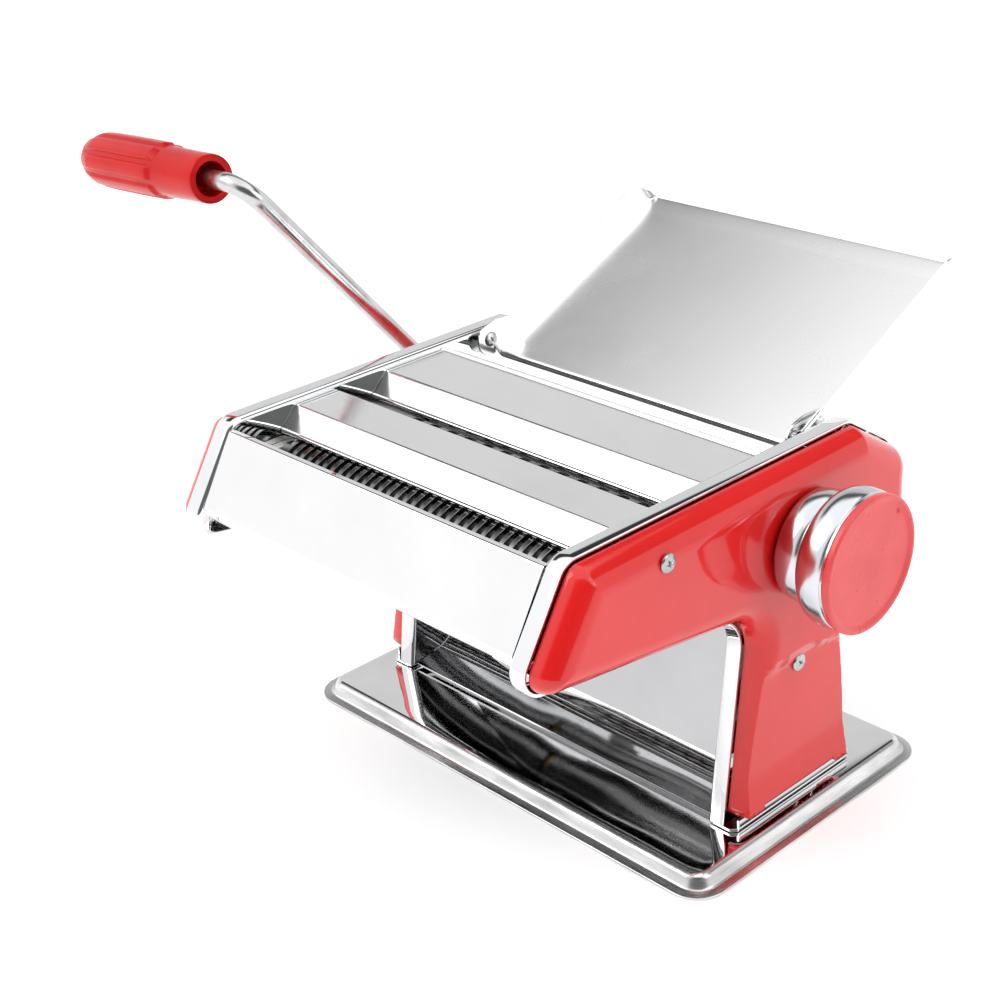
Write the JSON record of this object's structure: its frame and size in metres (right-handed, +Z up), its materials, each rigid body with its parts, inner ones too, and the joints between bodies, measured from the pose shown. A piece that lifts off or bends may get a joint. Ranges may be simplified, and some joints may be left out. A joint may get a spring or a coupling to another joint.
{
  "type": "pasta roller machine",
  "caption": "Hand-cranked pasta machine with red side covers, two smooth rollers, two cutter pairs, a tilting feed tray, a regulator knob and a pull-out crank.",
  "frame": {"origin": "bottom centre of the whole machine's bounding box, on the table under the base plate", "axes": "+X along the rollers towards the regulator knob, -X towards the crank, +Y to the back with the feed tray, -Y to the front with the cutters, +Z up"},
  "size_m": [0.3406, 0.2312, 0.2129],
  "materials": {
    "chrome": "mirror-bright plating",
    "base_steel": "polished stainless steel, lightly smudged",
    "sheet_steel": "satin stainless sheet",
    "roller_steel": "ground steel",
    "gear_steel": "dark oiled steel",
    "brass": "turned bearing brass",
    "red_paint": "high-gloss red enamel",
    "red_plastic": "red moulded plastic, semi-gloss",
    "white_nylon": "off-white nylon",
    "zinc": "bright zinc plate"
  },
  "bodies": {
    "frame": {"base_plate": "base_steel", "left_side_frame": "chrome", "right_side_frame": "chrome", "left_side_cover": "red_paint", "right_side_cover": "red_paint", "front_guard": "chrome", "front_fender": "sheet_steel", "rear_fender": "sheet_steel", "dough_chute": "chrome", "front_tie_rod": "chrome", "middle_tie_rod": "chrome", "rear_tie_rod": "chrome", "narrow_front_comb": "sheet_steel", "narrow_rear_comb": "sheet_steel", "wide_front_comb": "sheet_steel", "wide_rear_comb": "sheet_steel", "front_roller_scraper": "sheet_steel", "rear_roller_scraper": "sheet_steel", "left_narrow_bearing_plate": "white_nylon", "right_narrow_bearing_plate": "white_nylon", "left_wide_bearing_plate": "white_nylon", "right_wide_bearing_plate": "white_nylon", "left_rear_bush": "brass", "right_rear_bush": "brass", "detent_pin": "zinc", "left_cover_screw_upper": "zinc", "left_cover_screw_lower": "zinc", "right_cover_screw_upper": "zinc", "right_cover_screw_lower": "zinc", "left_tray_screw": "zinc", "right_tray_screw": "zinc", "foot_bolt_1": "zinc", "foot_bolt_2": "zinc", "foot_bolt_3": "zinc", "foot_bolt_4": "zinc"},
    "drive": {"rear_roller": "roller_steel", "rear_roller_gear": "gear_steel"},
    "crank": {"crank_rod": "chrome", "grip_retainer": "zinc"},
    "grip": {"crank_grip": "red_plastic"},
    "regulator": {"knob_shaft": "zinc", "left_eccentric_bush": "brass", "right_eccentric_bush": "brass", "knob_spring": "zinc"},
    "knob": {"knob_ring": "chrome", "knob_cap": "red_plastic"},
    "carriage": {"left_journal_sleeve": "brass", "right_journal_sleeve": "brass"},
    "front_roller": {"front_roller": "roller_steel", "front_roller_gear": "gear_steel"},
    "narrow_rear": {"narrow_rear_cutter": "roller_steel", "narrow_rear_gear": "gear_steel"},
    "narrow_front": {"narrow_front_cutter": "roller_steel", "narrow_front_gear": "gear_steel"},
    "wide_rear": {"wide_rear_cutter": "roller_steel", "wide_rear_gear": "gear_steel"},
    "wide_front": {"wide_front_cutter": "roller_steel", "wide_front_gear": "gear_steel"},
    "tray": {"feed_tray": "sheet_steel"}
  },
  "joints": [
    {"name": "crank_spin", "type": "hinge", "parent": "frame", "child": "drive", "pos_m": [0.05104, 0.02834, 0.1078], "axis": [1, 0, 0], "continuous": true},
    {"name": "crank_pull", "type": "slide", "parent": "drive", "child": "crank", "axis": [-1, 0, 0], "range_m": [0, 0.016]},
    {"name": "grip_spin", "type": "hinge", "parent": "crank", "child": "grip", "pos_m": [-0.08134, -0.05618, 0.20435], "axis": [-0.9943, 0.07, -0.08], "continuous": true},
    {"name": "regulator_turn", "type": "hinge", "parent": "frame", "child": "regulator", "pos_m": [0.05104, 0.00354, 0.109], "axis": [1, 0, 0], "range_deg": [0, 160]},
    {"name": "knob_pull", "type": "slide", "parent": "regulator", "child": "knob", "axis": [1, 0, 0], "range_m": [0, 0.003], "stiffness_N_per_m": 400, "springref_m": -0.004},
    {"name": "carriage_slide", "type": "slide", "parent": "frame", "child": "carriage", "axis": [0, 1, 0], "range_m": [0, 0.0025]},
    {"name": "front_roller_spin", "type": "hinge", "parent": "carriage", "child": "front_roller", "pos_m": [0.05104, 0.00224, 0.109], "axis": [1, 0, 0], "continuous": true},
    {"name": "narrow_rear_spin", "type": "hinge", "parent": "frame", "child": "narrow_rear", "pos_m": [0.05104, -0.07646, 0.1165], "axis": [1, 0, 0], "continuous": true},
    {"name": "narrow_front_spin", "type": "hinge", "parent": "frame", "child": "narrow_front", "pos_m": [0.05104, -0.09526, 0.1165], "axis": [1, 0, 0], "continuous": true},
    {"name": "wide_rear_spin", "type": "hinge", "parent": "frame", "child": "wide_rear", "pos_m": [0.05104, -0.03336, 0.112], "axis": [1, 0, 0], "continuous": true},
    {"name": "wide_front_spin", "type": "hinge", "parent": "frame", "child": "wide_front", "pos_m": [0.05104, -0.05356, 0.112], "axis": [1, 0, 0], "continuous": true},
    {"name": "tray_tilt", "type": "hinge", "parent": "frame", "child": "tray", "pos_m": [0.05104, 0.02364, 0.1333], "axis": [1, 0, 0], "range_deg": [0, 60]}
  ],
  "couplings": [
    {"joint": "carriage_slide", "follows": "regulator_turn", "m_per_rad": 0.000895},
    {"joint": "front_roller_spin", "follows": "crank_spin", "ratio": -1},
    {"joint": "narrow_front_spin", "follows": "narrow_rear_spin", "ratio": -1},
    {"joint": "wide_front_spin", "follows": "wide_rear_spin", "ratio": -1}
  ]
}
